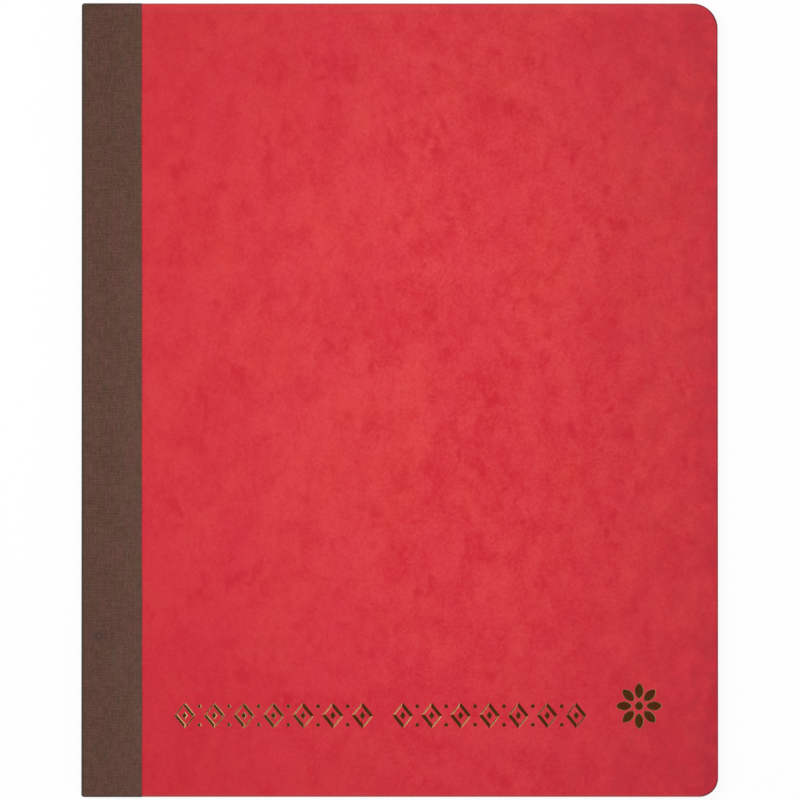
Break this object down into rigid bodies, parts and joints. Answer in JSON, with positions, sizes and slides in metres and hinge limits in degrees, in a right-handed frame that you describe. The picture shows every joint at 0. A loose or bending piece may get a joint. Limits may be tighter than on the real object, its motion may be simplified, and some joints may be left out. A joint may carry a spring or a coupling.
{
  "type": "account book",
  "caption": "Thin sewn account book with red pressboard covers, a brown cloth spine strip and rounded fore-edge corners, that opens flat on ruled leaves.",
  "frame": {"origin": "on the surface that the closed ledger lies on, under the middle of its covers", "axes": "+X from the spine to the fore-edge, +Y from the tail to the head, +Z out of the front cover"},
  "size_m": [0.2004, 0.25, 0.0067],
  "materials": {
    "pressboard": "satin",
    "book_cloth": "matte",
    "endpaper": "matte",
    "ledger_paper": "matte",
    "mull": "matte",
    "linen_thread": "matte",
    "gold_foil": "polished"
  },
  "bodies": {
    "root": {"spine_cloth_lower": "book_cloth", "spine_lining_lower": "mull", "back_flyleaf": "endpaper", "leaf_40": "ledger_paper", "section_3_fold_rear": "ledger_paper", "section_4_fold": "ledger_paper", "section_5_fold": "ledger_paper", "sewing_thread_rear": "linen_thread"},
    "front_block": {"spine_cloth_upper": "book_cloth", "spine_lining_upper": "mull", "front_flyleaf": "endpaper", "leaf_01": "ledger_paper", "section_1_fold": "ledger_paper", "section_2_fold": "ledger_paper", "section_3_fold_front": "ledger_paper", "sewing_thread_front": "linen_thread"},
    "front_cover": {"front_cloth_flap": "book_cloth", "front_cover_board": "pressboard", "front_pastedown": "endpaper"},
    "back_cover": {"back_cloth_flap": "book_cloth", "back_cover_board": "pressboard", "back_pastedown": "endpaper"},
    "turning_leaf_02": {"leaf_02": "ledger_paper"},
    "turning_leaf_03": {"leaf_03": "ledger_paper"},
    "turning_leaf_04": {"leaf_04": "ledger_paper"},
    "turning_leaf_05": {"leaf_05": "ledger_paper"},
    "turning_leaf_06": {"leaf_06": "ledger_paper"},
    "turning_leaf_07": {"leaf_07": "ledger_paper"},
    "turning_leaf_08": {"leaf_08": "ledger_paper"},
    "turning_leaf_09": {"leaf_09": "ledger_paper"},
    "turning_leaf_10": {"leaf_10": "ledger_paper"},
    "turning_leaf_11": {"leaf_11": "ledger_paper"},
    "turning_leaf_12": {"leaf_12": "ledger_paper"},
    "turning_leaf_13": {"leaf_13": "ledger_paper"},
    "turning_leaf_14": {"leaf_14": "ledger_paper"},
    "turning_leaf_15": {"leaf_15": "ledger_paper"},
    "turning_leaf_16": {"leaf_16": "ledger_paper"},
    "turning_leaf_17": {"leaf_17": "ledger_paper"},
    "turning_leaf_18": {"leaf_18": "ledger_paper"},
    "turning_leaf_19": {"leaf_19": "ledger_paper"},
    "turning_leaf_20": {"leaf_20": "ledger_paper"},
    "turning_leaf_21": {"leaf_21": "ledger_paper"},
    "turning_leaf_22": {"leaf_22": "ledger_paper"},
    "turning_leaf_23": {"leaf_23": "ledger_paper"},
    "turning_leaf_24": {"leaf_24": "ledger_paper"},
    "turning_leaf_25": {"leaf_25": "ledger_paper"},
    "turning_leaf_26": {"leaf_26": "ledger_paper"},
    "turning_leaf_27": {"leaf_27": "ledger_paper"},
    "turning_leaf_28": {"leaf_28": "ledger_paper"},
    "turning_leaf_29": {"leaf_29": "ledger_paper"},
    "turning_leaf_30": {"leaf_30": "ledger_paper"},
    "turning_leaf_31": {"leaf_31": "ledger_paper"},
    "turning_leaf_32": {"leaf_32": "ledger_paper"},
    "turning_leaf_33": {"leaf_33": "ledger_paper"},
    "turning_leaf_34": {"leaf_34": "ledger_paper"},
    "turning_leaf_35": {"leaf_35": "ledger_paper"},
    "turning_leaf_36": {"leaf_36": "ledger_paper"},
    "turning_leaf_37": {"leaf_37": "ledger_paper"},
    "turning_leaf_38": {"leaf_38": "ledger_paper"},
    "turning_leaf_39": {"leaf_39": "ledger_paper"}
  },
  "joints": [
    {"name": "open_at_middle", "type": "hinge", "parent": "root", "child": "front_block", "pos_m": [-0.10025, 0, 0.00334], "axis": [0, -1, 0], "range_deg": [0, 179.97]},
    {"name": "front_cover_hinge", "type": "hinge", "parent": "front_block", "child": "front_cover", "pos_m": [-0.10025, 0, 0.00668], "axis": [0, -1, 0], "range_deg": [0, 179.97]},
    {"name": "back_cover_hinge", "type": "hinge", "parent": "root", "child": "back_cover", "pos_m": [-0.10025, 0, 0], "axis": [0, -1, 0], "range_deg": [-179.97, 0]},
    {"name": "leaf_02_turn", "type": "hinge", "parent": "front_block", "child": "turning_leaf_02", "pos_m": [-0.10025, 0, 0.00334], "axis": [0, -1, 0], "range_deg": [-0.154, 0]},
    {"name": "leaf_03_turn", "type": "hinge", "parent": "front_block", "child": "turning_leaf_03", "pos_m": [-0.10025, 0, 0.00334], "axis": [0, -1, 0], "range_deg": [-0.42, 0]},
    {"name": "leaf_04_turn", "type": "hinge", "parent": "front_block", "child": "turning_leaf_04", "pos_m": [-0.10025, 0, 0.00334], "axis": [0, -1, 0], "range_deg": [-0.762, 0]},
    {"name": "leaf_05_turn", "type": "hinge", "parent": "front_block", "child": "turning_leaf_05", "pos_m": [-0.10025, 0, 0.00334], "axis": [0, -1, 0], "range_deg": [-1.17, 0]},
    {"name": "leaf_06_turn", "type": "hinge", "parent": "front_block", "child": "turning_leaf_06", "pos_m": [-0.10025, 0, 0.00334], "axis": [0, -1, 0], "range_deg": [-1.63, 0]},
    {"name": "leaf_07_turn", "type": "hinge", "parent": "front_block", "child": "turning_leaf_07", "pos_m": [-0.10025, 0, 0.00334], "axis": [0, -1, 0], "range_deg": [-2.14, 0]},
    {"name": "leaf_08_turn", "type": "hinge", "parent": "front_block", "child": "turning_leaf_08", "pos_m": [-0.10025, 0, 0.00334], "axis": [0, -1, 0], "range_deg": [-2.69, 0]},
    {"name": "leaf_09_turn", "type": "hinge", "parent": "front_block", "child": "turning_leaf_09", "pos_m": [-0.10025, 0, 0.00334], "axis": [0, -1, 0], "range_deg": [-3.29, 0]},
    {"name": "leaf_10_turn", "type": "hinge", "parent": "front_block", "child": "turning_leaf_10", "pos_m": [-0.10025, 0, 0.00334], "axis": [0, -1, 0], "range_deg": [-3.92, 0]},
    {"name": "leaf_11_turn", "type": "hinge", "parent": "front_block", "child": "turning_leaf_11", "pos_m": [-0.10025, 0, 0.00334], "axis": [0, -1, 0], "range_deg": [-4.59, 0]},
    {"name": "leaf_12_turn", "type": "hinge", "parent": "front_block", "child": "turning_leaf_12", "pos_m": [-0.10025, 0, 0.00334], "axis": [0, -1, 0], "range_deg": [-5.3, 0]},
    {"name": "leaf_13_turn", "type": "hinge", "parent": "front_block", "child": "turning_leaf_13", "pos_m": [-0.10025, 0, 0.00334], "axis": [0, -1, 0], "range_deg": [-6.03, 0]},
    {"name": "leaf_14_turn", "type": "hinge", "parent": "front_block", "child": "turning_leaf_14", "pos_m": [-0.10025, 0, 0.00334], "axis": [0, -1, 0], "range_deg": [-6.8, 0]},
    {"name": "leaf_15_turn", "type": "hinge", "parent": "front_block", "child": "turning_leaf_15", "pos_m": [-0.10025, 0, 0.00334], "axis": [0, -1, 0], "range_deg": [-7.6, 0]},
    {"name": "leaf_16_turn", "type": "hinge", "parent": "front_block", "child": "turning_leaf_16", "pos_m": [-0.10025, 0, 0.00334], "axis": [0, -1, 0], "range_deg": [-8.43, 0]},
    {"name": "leaf_17_turn", "type": "hinge", "parent": "front_block", "child": "turning_leaf_17", "pos_m": [-0.10025, 0, 0.00334], "axis": [0, -1, 0], "range_deg": [-9.28, 0]},
    {"name": "leaf_18_turn", "type": "hinge", "parent": "front_block", "child": "turning_leaf_18", "pos_m": [-0.10025, 0, 0.00334], "axis": [0, -1, 0], "range_deg": [-10.16, 0]},
    {"name": "leaf_19_turn", "type": "hinge", "parent": "front_block", "child": "turning_leaf_19", "pos_m": [-0.10025, 0, 0.00334], "axis": [0, -1, 0], "range_deg": [-11.07, 0]},
    {"name": "leaf_20_turn", "type": "hinge", "parent": "front_block", "child": "turning_leaf_20", "pos_m": [-0.10025, 0, 0.00334], "axis": [0, -1, 0], "range_deg": [-12.01, 0]},
    {"name": "leaf_21_turn", "type": "hinge", "parent": "root", "child": "turning_leaf_21", "pos_m": [-0.10025, 0, 0.00334], "axis": [0, -1, 0], "range_deg": [0, 12.01]},
    {"name": "leaf_22_turn", "type": "hinge", "parent": "root", "child": "turning_leaf_22", "pos_m": [-0.10025, 0, 0.00334], "axis": [0, -1, 0], "range_deg": [0, 11.07]},
    {"name": "leaf_23_turn", "type": "hinge", "parent": "root", "child": "turning_leaf_23", "pos_m": [-0.10025, 0, 0.00334], "axis": [0, -1, 0], "range_deg": [0, 10.16]},
    {"name": "leaf_24_turn", "type": "hinge", "parent": "root", "child": "turning_leaf_24", "pos_m": [-0.10025, 0, 0.00334], "axis": [0, -1, 0], "range_deg": [0, 9.28]},
    {"name": "leaf_25_turn", "type": "hinge", "parent": "root", "child": "turning_leaf_25", "pos_m": [-0.10025, 0, 0.00334], "axis": [0, -1, 0], "range_deg": [0, 8.43]},
    {"name": "leaf_26_turn", "type": "hinge", "parent": "root", "child": "turning_leaf_26", "pos_m": [-0.10025, 0, 0.00334], "axis": [0, -1, 0], "range_deg": [0, 7.6]},
    {"name": "leaf_27_turn", "type": "hinge", "parent": "root", "child": "turning_leaf_27", "pos_m": [-0.10025, 0, 0.00334], "axis": [0, -1, 0], "range_deg": [0, 6.8]},
    {"name": "leaf_28_turn", "type": "hinge", "parent": "root", "child": "turning_leaf_28", "pos_m": [-0.10025, 0, 0.00334], "axis": [0, -1, 0], "range_deg": [0, 6.03]},
    {"name": "leaf_29_turn", "type": "hinge", "parent": "root", "child": "turning_leaf_29", "pos_m": [-0.10025, 0, 0.00334], "axis": [0, -1, 0], "range_deg": [0, 5.3]},
    {"name": "leaf_30_turn", "type": "hinge", "parent": "root", "child": "turning_leaf_30", "pos_m": [-0.10025, 0, 0.00334], "axis": [0, -1, 0], "range_deg": [0, 4.59]},
    {"name": "leaf_31_turn", "type": "hinge", "parent": "root", "child": "turning_leaf_31", "pos_m": [-0.10025, 0, 0.00334], "axis": [0, -1, 0], "range_deg": [0, 3.92]},
    {"name": "leaf_32_turn", "type": "hinge", "parent": "root", "child": "turning_leaf_32", "pos_m": [-0.10025, 0, 0.00334], "axis": [0, -1, 0], "range_deg": [0, 3.29]},
    {"name": "leaf_33_turn", "type": "hinge", "parent": "root", "child": "turning_leaf_33", "pos_m": [-0.10025, 0, 0.00334], "axis": [0, -1, 0], "range_deg": [0, 2.69]},
    {"name": "leaf_34_turn", "type": "hinge", "parent": "root", "child": "turning_leaf_34", "pos_m": [-0.10025, 0, 0.00334], "axis": [0, -1, 0], "range_deg": [0, 2.14]},
    {"name": "leaf_35_turn", "type": "hinge", "parent": "root", "child": "turning_leaf_35", "pos_m": [-0.10025, 0, 0.00334], "axis": [0, -1, 0], "range_deg": [0, 1.63]},
    {"name": "leaf_36_turn", "type": "hinge", "parent": "root", "child": "turning_leaf_36", "pos_m": [-0.10025, 0, 0.00334], "axis": [0, -1, 0], "range_deg": [0, 1.17]},
    {"name": "leaf_37_turn", "type": "hinge", "parent": "root", "child": "turning_leaf_37", "pos_m": [-0.10025, 0, 0.00334], "axis": [0, -1, 0], "range_deg": [0, 0.762]},
    {"name": "leaf_38_turn", "type": "hinge", "parent": "root", "child": "turning_leaf_38", "pos_m": [-0.10025, 0, 0.00334], "axis": [0, -1, 0], "range_deg": [0, 0.42]},
    {"name": "leaf_39_turn", "type": "hinge", "parent": "root", "child": "turning_leaf_39", "pos_m": [-0.10025, 0, 0.00334], "axis": [0, -1, 0], "range_deg": [0, 0.154]}
  ],
  "couplings": [
    {"joint": "leaf_02_turn", "follows": "open_at_middle", "ratio": -0.0008},
    {"joint": "leaf_03_turn", "follows": "open_at_middle", "ratio": -0.00228},
    {"joint": "leaf_04_turn", "follows": "open_at_middle", "ratio": -0.00418},
    {"joint": "leaf_05_turn", "follows": "open_at_middle", "ratio": -0.00644},
    {"joint": "leaf_06_turn", "follows": "open_at_middle", "ratio": -0.009},
    {"joint": "leaf_07_turn", "follows": "open_at_middle", "ratio": -0.01183},
    {"joint": "leaf_08_turn", "follows": "open_at_middle", "ratio": -0.01491},
    {"joint": "leaf_09_turn", "follows": "open_at_middle", "ratio": -0.01821},
    {"joint": "leaf_10_turn", "follows": "open_at_middle", "ratio": -0.02173},
    {"joint": "leaf_11_turn", "follows": "open_at_middle", "ratio": -0.02546},
    {"joint": "leaf_12_turn", "follows": "open_at_middle", "ratio": -0.02937},
    {"joint": "leaf_13_turn", "follows": "open_at_middle", "ratio": -0.03346},
    {"joint": "leaf_14_turn", "follows": "open_at_middle", "ratio": -0.03773},
    {"joint": "leaf_15_turn", "follows": "open_at_middle", "ratio": -0.04217},
    {"joint": "leaf_16_turn", "follows": "open_at_middle", "ratio": -0.04676},
    {"joint": "leaf_17_turn", "follows": "open_at_middle", "ratio": -0.05152},
    {"joint": "leaf_18_turn", "follows": "open_at_middle", "ratio": -0.05642},
    {"joint": "leaf_19_turn", "follows": "open_at_middle", "ratio": -0.06147},
    {"joint": "leaf_20_turn", "follows": "open_at_middle", "ratio": -0.06667},
    {"joint": "leaf_21_turn", "follows": "open_at_middle", "ratio": 0.06667},
    {"joint": "leaf_22_turn", "follows": "open_at_middle", "ratio": 0.06147},
    {"joint": "leaf_23_turn", "follows": "open_at_middle", "ratio": 0.05642},
    {"joint": "leaf_24_turn", "follows": "open_at_middle", "ratio": 0.05152},
    {"joint": "leaf_25_turn", "follows": "open_at_middle", "ratio": 0.04676},
    {"joint": "leaf_26_turn", "follows": "open_at_middle", "ratio": 0.04217},
    {"joint": "leaf_27_turn", "follows": "open_at_middle", "ratio": 0.03773},
    {"joint": "leaf_28_turn", "follows": "open_at_middle", "ratio": 0.03346},
    {"joint": "leaf_29_turn", "follows": "open_at_middle", "ratio": 0.02937},
    {"joint": "leaf_30_turn", "follows": "open_at_middle", "ratio": 0.02546},
    {"joint": "leaf_31_turn", "follows": "open_at_middle", "ratio": 0.02173},
    {"joint": "leaf_32_turn", "follows": "open_at_middle", "ratio": 0.01821},
    {"joint": "leaf_33_turn", "follows": "open_at_middle", "ratio": 0.01491},
    {"joint": "leaf_34_turn", "follows": "open_at_middle", "ratio": 0.01183},
    {"joint": "leaf_35_turn", "follows": "open_at_middle", "ratio": 0.009},
    {"joint": "leaf_36_turn", "follows": "open_at_middle", "ratio": 0.00644},
    {"joint": "leaf_37_turn", "follows": "open_at_middle", "ratio": 0.00418},
    {"joint": "leaf_38_turn", "follows": "open_at_middle", "ratio": 0.00228},
    {"joint": "leaf_39_turn", "follows": "open_at_middle", "ratio": 0.0008}
  ]
}
